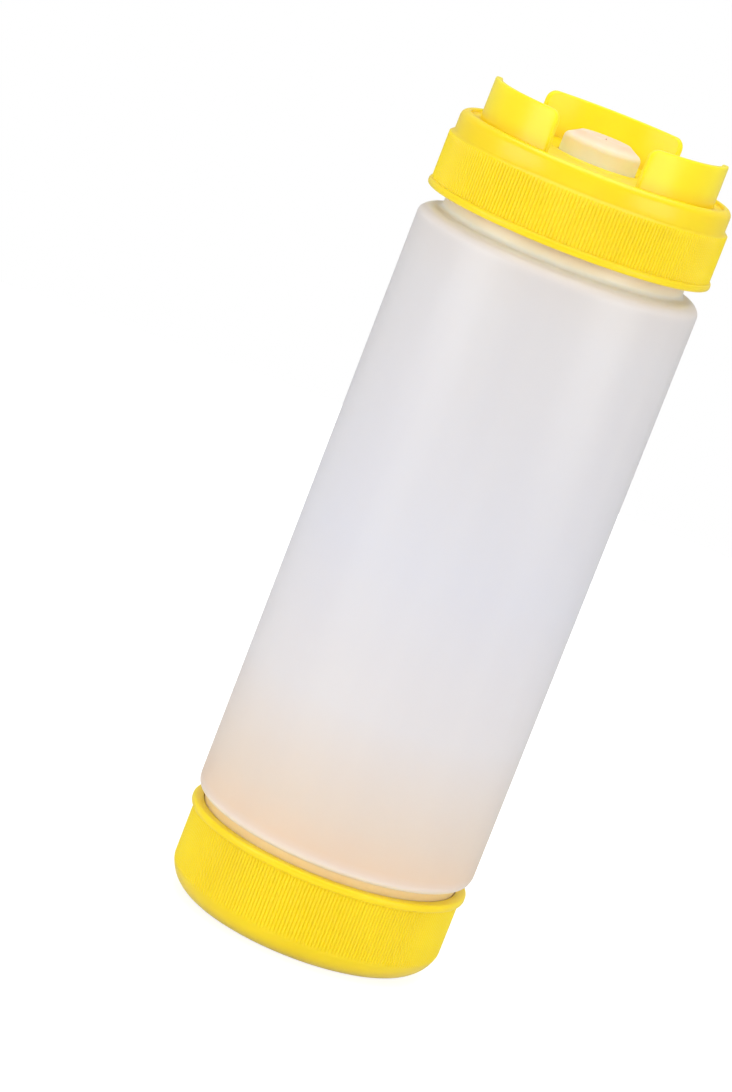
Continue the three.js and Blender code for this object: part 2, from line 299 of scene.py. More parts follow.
def finish(name, shades, shade_size, roughness, grain_size, grain_depth, stretch=(1, 1, 1)):
    """A colour from two shades, duller patches a third as wide, and a fine grain."""
    material = bpy.data.materials.new(name)
    material.use_nodes = True
    nodes = material.node_tree.nodes
    links = material.node_tree.links
    shader = nodes["Principled BSDF"]

    tint = nodes.new("ShaderNodeValToRGB")
    tint.color_ramp.elements[0].position = darker_at
    tint.color_ramp.elements[1].position = lighter_at
    for element, shade in zip(tint.color_ramp.elements, shades):
        element.color = (*linear(*shade), 1)
    links.new(noise(nodes, links, shade_size, soft_detail, stretch), tint.inputs["Fac"])
    links.new(tint.outputs["Color"], shader.inputs["Base Color"])

    dull = nodes.new("ShaderNodeMapRange")
    dull.inputs["To Min"].default_value = roughness[0]
    dull.inputs["To Max"].default_value = roughness[1]
    patches = noise(nodes, links, shade_size * dull_share, dull_detail, stretch)
    links.new(patches, dull.inputs["Value"])
    links.new(dull.outputs["Result"], shader.inputs["Roughness"])

    bump = nodes.new("ShaderNodeBump")
    bump.inputs["Strength"].default_value = 1
    bump.inputs["Distance"].default_value = grain_depth
    links.new(noise(nodes, links, grain_size, soft_detail), bump.inputs["Height"])
    links.new(bump.outputs["Normal"], shader.inputs["Normal"])
    return material, shader


# %% A tint that changes along the height
def height_tint(material, stops):
    """Multiplies the base colour by a shade for each height in mm, from the lowest up."""
    nodes = material.node_tree.nodes
    links = material.node_tree.links
    shader = nodes["Principled BSDF"]
    plain = shader.inputs["Base Color"].links[0].from_socket
    lowest = stops[0][0]
    highest = stops[-1][0]
    place = nodes.new("ShaderNodeTexCoord")
    split = nodes.new("ShaderNodeSeparateXYZ")
    share = nodes.new("ShaderNodeMapRange")
    share.inputs["From Min"].default_value = lowest * mm
    share.inputs["From Max"].default_value = highest * mm
    tint = nodes.new("ShaderNodeValToRGB")
    ramp = tint.color_ramp
    ramp.elements.remove(ramp.elements[0])
    for number, (height, shade) in enumerate(stops):
        at = (height - lowest) / (highest - lowest)
        element = ramp.elements[0] if number == 0 else ramp.elements.new(at)
        element.position = at
        element.color = (*linear(*shade), 1)
    both = nodes.new("ShaderNodeMix")
    both.data_type = "RGBA"
    both.blend_type = "MULTIPLY"
    both.inputs["Factor"].default_value = 1
    links.new(place.outputs["Object"], split.inputs["Vector"])
    links.new(split.outputs["Z"], share.inputs["Value"])
    links.new(share.outputs["Result"], tint.inputs["Fac"])
    links.new(plain, both.inputs["A"])
    links.new(tint.outputs["Color"], both.inputs["B"])
    links.new(both.outputs["Result"], shader.inputs["Base Color"])


# %% [markdown]
# ## Yellow moulded plastic
#
# Both caps are injection moulded polypropylene: a strong, slightly warm yellow with a satin
# gloss. Light goes a millimetre or so into it, which keeps its shaded side warm rather than
# grey. Subsurface scattering gives that, with red light travelling furthest. A tint that follows
# the height paints the glow of light through the thin crown walls, and the parts below are painted a
# shade deeper.


# %% Yellow plastic
def yellow_plastic():
    shades = ((250, 231, 16), (246, 226, 11))
    material, shader = finish(
        "yellow_plastic",
        shades,
        shade_size=14 * mm,
        roughness=(0.28, 0.36),
        grain_size=0.5 * mm,
        grain_depth=0.005 * mm,
    )
    shader.inputs["Subsurface Weight"].default_value = 0.5
    shader.inputs["Subsurface Radius"].default_value = (1.0, 0.9, 0.3)
    shader.inputs["Subsurface Scale"].default_value = 1.6 * mm
    shader.inputs["Specular IOR Level"].default_value = 0.5
    return material


yellow = yellow_plastic()
# Painted glow: the crown walls are painted lighter and everything below them a shade deeper, in
# place of light passing through the thin walls.
painted_crown_glow = (
    (0, (251, 240, 225)),
    (190.4, (251, 240, 225)),
    (193.5, (255, 255, 255)),
    (200, (255, 255, 255)),
)
height_tint(yellow, painted_crown_glow)
print("made", yellow.name)

# %% [markdown]
# ## Milky squeeze plastic
#
# The bottle is soft polyethylene, a milky plastic that lets light through but no picture. A
# glass-like shader would show the far wall too clearly. Here most of the light scatters inside
# the wall, so the bottle glows softly and takes up some yellow beside the caps. The die that
# the hot tube came out of leaves faint upright streaks, so the noise is stretched along the
# bottle's height.
#
# The yellow and peach of the caps glow through the plastic near both ends. A tint that follows
# the height paints that glow, strongest on the two short stretches of neck that show, and paints
# light into the shaded crease where the shoulder meets the upper neck.


# %% Squeeze plastic
def squeeze_plastic():
    shades = ((255, 253, 253), (252, 250, 251))
    material, shader = finish(
        "squeeze_plastic",
        shades,
        shade_size=16 * mm,
        roughness=(0.27, 0.35),
        grain_size=1.6 * mm,
        grain_depth=0.012 * mm,
        stretch=(1, 1, 0.12),
    )
    shader.inputs["Subsurface Weight"].default_value = 1
    shader.inputs["Subsurface Radius"].default_value = (1.0, 0.95, 0.9)
    shader.inputs["Subsurface Scale"].default_value = 0.8 * mm
    shader.inputs["Transmission Weight"].default_value = 0.02
    shader.inputs["Specular IOR Level"].default_value = 0.6
    shader.inputs["IOR"].default_value = 1.5
    return material


milky = squeeze_plastic()
# Painted light: the peach stops near both caps stand in for the caps' yellow light in the plastic.
# The near-white stops near 168 to 169 mm paint light into the shaded crease under the top cap's lip.
painted_glow_and_crease_light = (
    (4, (240, 238, 236)),
    (17, (242, 238, 232)),
    (20.6, (248, 222, 172)),
    (23.4, (248, 222, 172)),
    (23.9, (247, 242, 236)),
    (25, (239, 229, 221)),
    (25.8, (234, 218, 202)),
    (27.5, (233, 212, 189)),
    (36, (229, 216, 201)),
    (60, (226, 224, 224)),
    (95, (222, 223, 228)),
    (155, (222, 221, 221)),
    (165, (222, 219, 216)),
    (167.7, (232, 226, 219)),
    (168.2, (255, 252, 248)),
    (169.2, (255, 250, 242)),
    (170, (255, 238, 212)),
    (171.6, (255, 230, 198)),
    (173.5, (255, 234, 204)),
    (177, (242, 238, 233)),
    (187, (240, 238, 236)),
)
height_tint(milky, painted_glow_and_crease_light)
print("made", milky.name)

# %% [markdown]
# ## Silicone, gaskets and the inner ring
#
# The valve is peach silicone: soft, dull and quite see-through, so light scatters far inside
# it. The gaskets are a dull, pale rubber, and the ring that clamps the valve is the same kind
# of plastic as the caps with no colour added.


# %% Silicone rubber
def silicone_rubber():
    shades = ((255, 248, 236), (255, 244, 228))
    material, shader = finish(
        "silicone_rubber",
        shades,
        shade_size=6 * mm,
        roughness=(0.48, 0.6),
        grain_size=0.35 * mm,
        grain_depth=0.006 * mm,
    )
    shader.inputs["Subsurface Weight"].default_value = 1
    shader.inputs["Subsurface Radius"].default_value = (1.0, 0.8, 0.55)
    shader.inputs["Subsurface Scale"].default_value = 0.4 * mm
    return material


silicone = silicone_rubber()
# Painted shade: the tint darkens the valve's upward-facing top against its sides, evening out the
# overhead light that falls on the top.
painted_top_shade = ((190, (255, 255, 255)), (194.2, (255, 240, 226)), (195.4, (236, 217, 198)))
height_tint(silicone, painted_top_shade)
print("made", silicone.name)


# %% Plastic with no colour added
def natural_plastic():
    shades = ((240, 237, 228), (232, 229, 219))
    material, shader = finish(
        "natural_plastic",
        shades,
        shade_size=8 * mm,
        roughness=(0.4, 0.5),
        grain_size=0.5 * mm,
        grain_depth=0.006 * mm,
    )
    shader.inputs["Subsurface Weight"].default_value = 0.6
    shader.inputs["Subsurface Scale"].default_value = 2 * mm
    return material


natural = natural_plastic()
print("made", natural.name)


# %% Gasket rubber
def gasket_rubber():
    shades = ((221, 214, 199), (210, 203, 188))
    material, shader = finish(
        "gasket_rubber",
        shades,
        shade_size=4 * mm,
        roughness=(0.68, 0.8),
        grain_size=0.3 * mm,
        grain_depth=0.01 * mm,
    )
    shader.inputs["Specular IOR Level"].default_value = 0.3
    return material


gasket = gasket_rubber()
print("made", gasket.name)

# %% [markdown]
# ## The screw threads
#
# Each neck has one right-handed thread that climbs 5 mm in a turn, and each cap has the same
# thread inside. On a blown bottle the thread is not a separate coil but a swelling of the neck's
# own wall. So the neck's rings stay level and each point is pushed out by as much as the thread
# stands there. The height above the thread's middle line says how far: nothing beyond half its
# root width, and everything within half its crest width. The thread of a tight cap lies beside
# the neck's, on the side of the body, which is what holds the cap on.

# %% Thread sizes
thread_pitch = 5
thread_depth = 1.8
thread_root = 2.4
thread_crest = 1.2
thread_turns = 1.1
thread_run_out = 0.12
thread_start = 3
thread_offset = 1.933
row_step = 0.2
thread_rise = thread_pitch * thread_turns
thread_reach = thread_root / 2 + row_step
print("a thread climbs", round(thread_rise, 2), "mm in", thread_turns, "turns")


# %% How far a thread stands out
def thread_relief(angles, height, base):
    """The push on each point of a level ring, by a thread that starts at a base height."""
    relief = np.zeros_like(angles)
    for lap in range(math.ceil(thread_turns)):
        turn = angles / full_turn + lap
        ends = np.minimum(turn, thread_turns - turn) / thread_run_out
        full = np.clip(ends, 0, 1)
        away = np.abs(height - base - turn * thread_pitch)
        rise = np.clip((thread_root / 2 - away) / (thread_root - thread_crest) * 2, 0, 1)
        relief = np.maximum(relief, thread_depth * full * rise * rise * (3 - 2 * rise))
    return relief


# %% A wall that carries a thread
def threaded(skin, wall, base, facing):
    """Rings up a neck that swells outwards (1), or down a bore that swells inwards (-1)."""
    start = base - thread_reach
    end = base + thread_rise + thread_reach
    if facing < 0:
        start, end = end, start
    count = round(abs(end - start) / row_step)
    for height in np.linspace(start, end, count + 1):
        skin.ring(wall + facing * thread_relief(smooth, height, base), height)


print("rings for one thread:", round(thread_rise / row_step))

# %% [markdown]
# ## The bottle
#
# The outline runs anticlockwise: up the outside from the lower rim, over the wide body, up to
# the upper rim, and down the inside. The wall is 1.2 mm thick. The shoulder is a soft bend, a
# little wider than it is tall, and the lower edge is a tighter one. Below the body, a wide band
# of the lower neck fills the mouth of the refill cap.
#
# A blow mould has two halves, and they leave a hair-fine raised line down each side of the
# body. Two extra points on each side of the line let the rings carry it as real geometry.

# %% Bottle sizes
bottle_low, bottle_high = (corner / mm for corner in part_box("bottle_body"))
body_radius = bottle_high.x
rim_low = bottle_low.z
rim_high = bottle_high.z
body_base = 23.8
body_top = 168.6
body_wall = 1.2
shoulder = 3.7
shoulder_rise = 2.9
lower_edge = 2.4
neck_step = 4.8
neck_wall = 1.8
neck_radius = body_radius - neck_step
neck_inner = neck_radius - neck_wall
neck_fillet = 1.1
rim_edge = 0.4
edge_steps = 3
lower_thread = rim_low + thread_start
upper_thread = rim_high - thread_start - thread_rise
print("body", round(2 * body_radius, 1), "mm across,", round(rim_high - rim_low, 1), "mm rim to rim")

# %% The band that fills the refill cap's mouth
thread_clearance = 0.5
cap_bore = neck_radius + thread_depth + thread_clearance
band_clearance = 0.15
band_height = 3.6
band_fillet = 0.3
band_radius = cap_bore - band_clearance
band_foot = body_base - band_height
band_lead_in = (band_radius - neck_radius) / 2
print("band", round(2 * band_radius, 1), "mm across in a bore of", round(2 * cap_bore, 1), "mm")

# %% Mould line down each side
line_height = 0.1
line_half_width = 0.35
line_shares = (-1, -0.5, 0, 0.5, 1)
line_room = 1.5
line_bend = line_half_width / body_radius


def from_line(angle):
    """The angle to the nearer of the two lines."""
    return abs(math.remainder(angle, math.pi))


extra = [side + share * line_bend for side in (0, math.pi) for share in line_shares]
clear = [angle for angle in smooth if from_line(angle) > line_room * line_bend]
body_angles = np.array(sorted(angle % full_turn for angle in [*extra, *clear]))
away = np.array([from_line(angle) for angle in body_angles])
line_shape = np.clip(1 - away / line_bend, 0, 1) * line_height
print("points on a ring of the body:", len(body_angles))


# %% A shoulder that is wider than it is tall
shoulder_steps = 10


def squat_arc(width, rise):
    """A quarter bend from the side of the body up to the flat ring round the upper neck."""
    lift = body_top - shoulder_rise
    bend = arc(body_radius - shoulder, 0, width, 0, 90, shoulder_steps)
    return [(radius, lift + height * rise / width) for radius, height in bend]


print("shoulder", shoulder, "mm wide and", shoulder_rise, "mm tall")


# %% Outside of the bottle
def bottle_outside(skin):
    skin.rows(arc(neck_radius - rim_edge, rim_low + rim_edge, rim_edge, -90, 0, edge_steps))
    threaded(skin, neck_radius, lower_thread, 1)
    skin.rows([(neck_radius, band_foot - band_lead_in)])
    inner = band_radius - band_fillet
    outer = band_radius + band_fillet
    skin.rows(arc(inner, band_foot + band_fillet, band_fillet, -45, 0, steps=2))
    skin.rows(arc(outer, body_base - band_fillet, band_fillet, 180, 90, edge_steps))
    body = arc(body_radius - lower_edge, body_base + lower_edge, lower_edge, -90, 0, steps=8)
    body += squat_arc(shoulder, shoulder_rise)
    for radius, height in body:
        out = (radius - neck_radius) / (body_radius - neck_radius)
        skin.ring(radius + line_shape * max(out, 0) ** 2, height, body_angles)
    skin.rows(arc(neck_radius + neck_fillet, body_top + neck_fillet, neck_fillet, 270, 180))
    threaded(skin, neck_radius, upper_thread, 1)
    skin.rows(arc(neck_radius - rim_edge, rim_high - rim_edge, rim_edge, 0, 90, edge_steps))


# %% Inside of the bottle
def bottle_inside(skin):
    skin.rows(arc(neck_inner + rim_edge, rim_high - rim_edge, rim_edge, 90, 180, edge_steps))
    skin.rows([(neck_inner, body_top - body_wall)])
    skin.rows(reversed(squat_arc(shoulder - body_wall, shoulder_rise - body_wall)))
    inner_edge = lower_edge - body_wall
    centre = body_radius - body_wall - inner_edge
    skin.rows(arc(centre, body_base + lower_edge, inner_edge, 0, -90))
    skin.rows([(neck_inner, body_base + body_wall)])


# %% Bottle skin
def make_bottle():
    skin = Skin()
    skin.rows([(neck_inner, rim_low + rim_edge)])
    skin.rows(arc(neck_inner + rim_edge, rim_low + rim_edge, rim_edge, 180, 270, edge_steps))
    bottle_outside(skin)
    bottle_inside(skin)
    skin.close()
    return skin.made("squeeze_bottle")


bottle = make_bottle()
bottle.data.materials.append(milky)
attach(bottle, "bottle")
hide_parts("bottle_body")
print("bottle:", len(bottle.data.polygons), "faces")

# %% [markdown]
# ## Ribs for grip
#
# Both skirts have some 240 fine upright ribs, about 0.3 mm high, with rounded backs and sharp
# valleys. A bump texture would leave the outline smooth, so the ribs are real: six points to a
# rib, with the radius falling away on each side of the rib's middle. Where the skirt narrows at
# its end, the radius is the smaller of the two, the rib's or the outline's, and the ribs run
# out on the slope as they do where a straight tool cuts a round edge.

# %% Rib sizes
skirt_wall = 2.25
skirt_crest = cap_bore + skirt_wall
rib_height = 0.28
rib_pitch = 0.857
rib_roundness = 2.2
rib_count = round(full_turn * skirt_crest / rib_pitch)
points_per_rib = 6
rib_angles = circle(rib_count * points_per_rib)
rib_phase = 2 * (np.arange(len(rib_angles)) % points_per_rib) / points_per_rib - 1
rib_shape = 1 - np.abs(rib_phase) ** rib_roundness


# %% A ribbed band
def ribbed(skin, root, outline):
    """outline gives the radius that the band can't pass, and the height, from below."""
    for limit, height in outline:
        skin.ring(np.minimum(limit, root + rib_height * rib_shape), height, rib_angles)


print("ribs round a skirt:", rib_count)

# %% [markdown]
# ## The crown
#
# Three curved walls stand on the cap's deck and shield the valve. Seen from above, each is a
# bent bar with rounded ends, and seen from the side its top corners are rounded. Each ring of
# this part of the skin crosses all three walls. At every angle, a cross-section gives the
# wall's half width and height there: none in the gaps, and the full wall in between. Where a
# wall ends, both grow along quarter circles, and a small fillet joins the foot to the deck.

# %% Crown sizes
ring_wall = 1.3
rim_width = 2.1
crown_setback = 2.35
crown_thickness = 1.7
ring_radius = cap_bore + ring_wall
rim_inner = ring_radius - rim_width
crown_middle = rim_inner - crown_setback - crown_thickness / 2
crown_corner = 2.4
crown_edge = 0.4
crown_fillet = 0.45
crown_draft = 0.06
crown_wall_angle = 74
crown_middles = (90, 210, 330)
crown_top = cad_box[1][2] / mm
deck_top = 190.0
print("crown walls stand", round(crown_top - deck_top, 1), "mm above the deck")


# %% Heights and widths along one wall
def wall_section(along):
    """Half width and height of a wall, by the distance in from its end, negative outside it."""
    full = crown_top - deck_top
    half = crown_thickness / 2
    if along <= -crown_fillet:
        return half, 0
    if along < 0:
        return half, crown_fillet - math.sqrt(crown_fillet**2 - (along + crown_fillet) ** 2)
    width = half
    height = full
    if along < crown_edge:
        width = half - crown_edge / 2 + math.sqrt(crown_edge**2 - (crown_edge - along) ** 2) / 2
    if along < crown_corner:
        height = full - crown_corner + math.sqrt(crown_corner**2 - (crown_corner - along) ** 2)
    return width, height


print("half width and height of a full wall:", wall_section(crown_corner))

# %% Angles that follow the walls' ends
corner_steps = 10
wall_steps = 29
gap_steps = 15
foot_shares = (1, 0.6, 0.3, 0.1)


def crown_columns():
    """Angle, half width and height of every column of points that crosses the crown."""
    half = math.radians(crown_wall_angle) / 2
    bends = np.linspace(0, math.pi / 2, corner_steps + 1)
    ends = [-crown_fillet * share for share in foot_shares]
    ends += [crown_corner * (1 - math.cos(bend)) for bend in bends]
    columns = []
    for middle in crown_middles:
        for side in (-1, 1):
            for along in ends:
                offset = side * (half - along / crown_middle)
                columns.append((math.radians(middle) + offset, *wall_section(along)))
        inner = half - crown_corner / crown_middle
        for offset in np.linspace(-inner, inner, wall_steps + 1)[1:-1]:
            columns.append((math.radians(middle) + offset, *wall_section(crown_corner)))
        gap = full_turn / len(crown_middles) - 2 * (half + crown_fillet / crown_middle)
        start = math.radians(middle) + half + crown_fillet / crown_middle
        for share in np.linspace(0, 1, gap_steps + 1)[1:-1]:
            columns.append((start + gap * share, *wall_section(-crown_fillet)))
    return sorted((angle % full_turn, width, height) for angle, width, height in columns)


columns = np.array(crown_columns())
print("columns of points across the crown:", len(columns))


# %% Cross-section of the walls as rings
section_steps = 4


def crown(skin):
    angles, widths, heights = columns.T
    fillet = np.minimum(crown_fillet, heights)
    edge = np.minimum(crown_edge, heights - fillet)
    face = widths - crown_draft
    foot = []
    top = []
    for bend in np.radians(np.linspace(0, 90, section_steps + 1)):
        rise = 1 - math.cos(bend)
        run = 1 - math.sin(bend)
        foot.append((widths + crown_fillet * run, fillet * rise))
        top.append((face - crown_edge * rise, heights - edge * run))
    section = foot + top
    for side, rows in ((1, section), (-1, section[::-1])):
        for out, up in rows:
            skin.ring(crown_middle + side * out, deck_top + up, angles)


# %% [markdown]
# ## The dispensing cap
#
# The skin starts under the lip, climbs the ribbed skirt and the plain ring, and turns over the
# rounded rim on to the deck. It crosses the crown and the raised ring round the valve, drops
# through the valve's hole, and returns underneath: round the collar that holds the clamping
# ring, out to the gasket's pocket, and down the threaded bore to the lip again.

# %% Dispensing cap sizes
cap_low, cap_high = (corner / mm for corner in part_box("dispensing_cap"))
lip_radius = cap_high.x
lip_base = cap_low.z
lip_height = 1.8
lip_edge = 0.7
lip_bend = 72
lip_steps = 5
lip_overlap = 0.02
bore_chamfer = 0.4
rib_end_row = 1
skirt_top = 185.2
ring_base = 186.0
slope_shares = (0, 0.15, 0.3, 0.45, 0.6)
ring_foot = 0.12
ring_foot_drop = 0.08
rim_top = 191.0
rim_outer_edge = 1.75
rim_inner_edge = 0.3
deck_fillet = 0.3
print("cap", round(cap_high.z - cap_low.z, 1), "mm tall, lip", round(2 * lip_radius, 1), "mm across")


# %% Lip and ribbed skirt of the dispensing cap
def cap_skirt(skin):
    lip_top = lip_base + lip_height
    centre = lip_radius - lip_edge
    skin.rows([(cap_bore + bore_chamfer, lip_base)])
    skin.rows(arc(centre, lip_base + lip_edge, lip_edge, -90, 0, lip_steps))
    skin.rows(arc(centre, lip_top - lip_edge, lip_edge, 0, lip_bend, lip_steps - 1))
    outline = [(lip_radius, lip_top - lip_overlap), (lip_radius, lip_top + rib_end_row)]
    outline.append((lip_radius, skirt_top - rib_end_row))
    for share in slope_shares:
        height = skirt_top + share * (ring_base - skirt_top)
        outline.append((skirt_crest + share * (ring_radius - skirt_crest), height))
    ribbed(skin, skirt_crest - rib_height, outline)


# %% Plain ring and rim of the dispensing cap
def cap_rim(skin):
    skin.rows([(ring_radius + ring_foot, ring_base - ring_foot_drop)])
    skin.rows([(ring_radius, ring_base + ring_foot)])
    centre = ring_radius - rim_outer_edge
    skin.rows(arc(centre, rim_top - rim_outer_edge, rim_outer_edge, 0, 90, steps=8))
    centre = rim_inner + rim_inner_edge
    skin.rows(arc(centre, rim_top - rim_inner_edge, rim_inner_edge, 90, 180, edge_steps))
    centre = rim_inner - deck_fillet
    skin.rows(arc(centre, deck_top + deck_fillet, deck_fillet, 0, -90, edge_steps))


# %% Sizes under the deck
deck_under = 188.2
gasket_room = 0.95
pocket_radius = neck_radius + gasket_room
pocket_depth = 2.4
pocket_lead_in = 1.3
valve_hole = 9.4
bore_ring = 10.8
bore_ring_height = 0.3
bore_ring_edge = 0.2
bore_ring_foot = 0.35
bore_ring_side = 0.12
collar_bore = 12.9
collar_wall = 1.5
collar_foot = 182.0
collar_edge = 0.1
snap_bead = 0.6
snap_bead_height = 0.9
cap_thread = upper_thread - thread_offset
print("deck", round(deck_top - deck_under, 1), "mm thick, valve's hole", 2 * valve_hole, "mm across")


# %% Deck round the valve, and the collar under it
def cap_deck(skin):
    top = deck_top + bore_ring_height
    skin.rows([(bore_ring + bore_ring_foot, deck_top), (bore_ring, deck_top + bore_ring_side)])
    skin.rows([(bore_ring - bore_ring_edge, top)])
    centre = valve_hole + bore_ring_edge
    skin.rows(arc(centre, top - bore_ring_edge, bore_ring_edge, 90, 180, edge_steps))
    skin.rows([(valve_hole, deck_under), (collar_bore, deck_under)])
    bead = collar_foot + snap_bead_height
    skin.rows([(collar_bore, bead), (collar_bore - snap_bead, bead - snap_bead_height / 2)])
    outer = collar_bore + collar_wall
    skin.rows([(collar_bore, collar_foot + collar_edge), (collar_bore + collar_edge, collar_foot)])
    skin.rows([(outer - collar_edge, collar_foot), (outer, collar_foot + collar_edge)])
    skin.rows([(outer, deck_under)])


# %% Gasket's pocket and bore of the dispensing cap
def cap_inside(skin):
    mouth = deck_under - pocket_depth
    skin.rows([(pocket_radius, deck_under), (pocket_radius, mouth)])
    skin.rows([(cap_bore, mouth - pocket_lead_in)])
    threaded(skin, cap_bore, cap_thread, -1)
    skin.rows([(cap_bore, lip_base + bore_chamfer)])


# %% Dispensing cap
cap_skin = Skin()
for part in (cap_skirt, cap_rim, crown, cap_deck, cap_inside):
    part(cap_skin)
cap_skin.close()
dispensing = cap_skin.made("dispensing_cap_shell")
dispensing.data.materials.append(yellow)
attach(dispensing, "dispensing_cap")
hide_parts("dispensing_cap")
print("dispensing cap:", len(dispensing.data.polygons), "faces")

# %% [markdown]
# ## The refill cap
#
# The bottle stands on this cap. Its ribbed skirt runs down on to a large rounded edge, and a
# flat ring is left to stand on, round a shallow recess. A small round mark in the middle of the
# recess is where the hot plastic was injected.

# %% Refill cap sizes
refill_low, refill_high = (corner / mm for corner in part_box("refill_cap"))
refill_top = refill_high.z
refill_lip_radius = refill_high.x
refill_lip_height = 1.9
refill_wall = 1.65
refill_step = 0.15
refill_crest = cap_bore + refill_wall
refill_root = refill_crest - rib_height
refill_side = refill_crest + refill_step
refill_corner = 8
refill_floor = 2.6
mouth_edge = 0.12
refill_thread = lower_thread + thread_offset
print("refill cap", round(refill_high.z - refill_low.z, 1), "mm tall")

# %% Sizes of the foot
foot_width = 3.6
foot_recess = 0.8
foot_inner = refill_side - refill_corner - foot_width
gate_radius = 1.6
gate_height = 0.35
gate_slope = 0.3
run_out_room = 2
print("foot ring", round(2 * foot_inner, 1), "mm across inside")


# %% Foot and ribbed skirt of the refill cap
def refill_outside(skin):
    lip_low = refill_top - refill_lip_height
    centre = refill_side - refill_corner
    skin.rows([(gate_radius, foot_recess - gate_height), (gate_radius + gate_slope, foot_recess)])
    skin.rows([(foot_inner - foot_recess, foot_recess), (foot_inner, 0)])
    run_out = math.degrees(math.acos((refill_root - centre) / refill_corner))
    skin.rows(arc(centre, refill_corner, refill_corner, -90, -run_out - run_out_room, steps=9))
    outline = arc(centre, refill_corner, refill_corner, -run_out, 0)
    outline += [(refill_side, lip_low - rib_end_row), (refill_side, lip_low + lip_overlap)]
    ribbed(skin, refill_root, outline)
    centre = refill_lip_radius - lip_edge
    skin.rows(arc(centre, lip_low + lip_edge, lip_edge, -lip_bend, 0, lip_steps - 1))
    skin.rows(arc(centre, refill_top - lip_edge, lip_edge, 0, 90, lip_steps))


# %% Mouth, bore and pocket of the refill cap
def refill_inside(skin):
    mouth = refill_floor + pocket_depth
    skin.rows([(cap_bore + mouth_edge, refill_top), (cap_bore, refill_top - mouth_edge)])
    threaded(skin, cap_bore, refill_thread, -1)
    skin.rows([(cap_bore, mouth + pocket_lead_in)])
    skin.rows([(pocket_radius, mouth), (pocket_radius, refill_floor)])


# %% Refill cap skin
def make_refill_cap():
    skin = Skin()
    refill_outside(skin)
    refill_inside(skin)
    skin.pole(0, foot_recess - gate_height)
    skin.pole(-1, refill_floor)
    return skin.made("refill_cap_shell")


refill = make_refill_cap()
refill.data.materials.append(yellow)
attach(refill, "refill_cap")
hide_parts("refill_cap")
print("refill cap:", len(refill.data.polygons), "faces")

# %% [markdown]
# ## The valve
#
# A thin silicone dome stands through the deck. Its top is flat with a shallow dish, and two
# crossed slits in the dish open when the bottle is squeezed. The dome is turned like the other
# pieces, and a Boolean modifier then cuts the slits through it.

# %% Valve sizes
valve_low, valve_high = (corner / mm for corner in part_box("no_drip_valve"))
valve_radius = 9.1
valve_wall = 1.2
valve_bend = 1.5
valve_slope_from = 70
valve_slope_to = 40
valve_brow = 0.7
valve_flat = 5.7
valve_top = valve_high.z
valve_drop = 1.2
valve_shoulder = valve_top - valve_drop
flange_thickness = 1.6
flange_radius = valve_high.x
flange_top = valve_low.z + flange_thickness
flange_edge = 0.3
dish_radius = 4.4
dish_depth = 1.1
dish_shares = (1, 0.9, 0.75, 0.6, 0.45, 0.3, 0.15)
print("valve stands", round(valve_top - deck_top, 1), "mm above the deck")


# %% Valve skin
def make_valve():
    inner = valve_radius - valve_wall
    base = valve_low.z
    edge = flange_edge
    bend = valve_bend
    under = valve_top - dish_depth - valve_wall
    skin = Skin()
    skin.rows([(dish_radius, under), (inner - bend / 2, valve_shoulder - valve_wall)])
    skin.rows([(inner, valve_shoulder - valve_wall - bend / 2), (inner, base)])
    skin.rows(arc(flange_radius - edge, base + edge, edge, -90, 0, edge_steps))
    skin.rows(arc(flange_radius - edge, flange_top - edge, edge, 0, 90, edge_steps))
    skin.rows(arc(valve_radius + edge, flange_top + edge, edge, 270, 180, edge_steps))
    skin.rows(arc(valve_radius - bend, valve_shoulder - bend, bend, 0, valve_slope_from))
    skin.rows(arc(valve_flat, valve_top - valve_brow, valve_brow, valve_slope_to, 90, steps=5))
    for share in dish_shares:
        skin.ring(dish_radius * share, valve_top - dish_depth * (1 - share**2))
    skin.pole(0, under)
    skin.pole(-1, valve_top - dish_depth)
    return skin.made("valve_dome")


valve = make_valve()
print("valve:", len(valve.data.polygons), "faces")


# %% Crossed slits
slit_length = 7
slit_width = 0.3
slit_low = valve_top - 4
slit_high = valve_top + 1


def cross_cutter(length, width, low, high):
    """An upright cross, longer than the dome's top is thick."""
    arm = length / 2
    half = width / 2
    corner = [(arm, -half), (arm, half), (half, half)]
    outline = []
    for quarter in range(4):
        turned = Matrix.Rotation(quarter * math.pi / 2, 2)
        outline += [turned @ Vector(point) for point in corner]
    count = len(outline)
    points = [(x * mm, y * mm, level * mm) for level in (low, high) for x, y in outline]
    faces = [list(range(count))[::-1], list(range(count, 2 * count))]
    for k in range(count):
        after = (k + 1) % count
        faces.append([k, after, after + count, k + count])
    mesh = bpy.data.meshes.new("slit_cutter")
    mesh.from_pydata(points, [], faces)
    cutter = bpy.data.objects.new("slit_cutter", mesh)
    scene.collection.objects.link(cutter)
    return cutter


slits = cross_cutter(slit_length, slit_width, slit_low, slit_high)
print("cutter with", len(slits.data.polygons), "faces")


# %% Cut the slits through the dome
def cut(piece, cutter):
    boolean = piece.modifiers.new("cut", "BOOLEAN")
    boolean.operation = "DIFFERENCE"
    boolean.solver = "EXACT"
    boolean.object = cutter
    graph = bpy.context.evaluated_depsgraph_get()
    result = bpy.data.meshes.new_from_object(piece.evaluated_get(graph))
    piece.modifiers.clear()
    piece.data = result
    bpy.data.objects.remove(cutter)
    softened(piece)


cut(valve, slits)
valve.data.materials.clear()
valve.data.materials.append(silicone)
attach(valve, "dispensing_cap")
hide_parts("no_drip_valve")
print("valve with slits:", len(valve.data.polygons), "faces")

# %% [markdown]
# ## The ring that clamps the valve, and the two gaskets
#
# These three are plain rings with softened edges. They sit inside the caps, where they show
# only when the bottle is open, but each is a loose part on the bench, so each gets its own mesh.


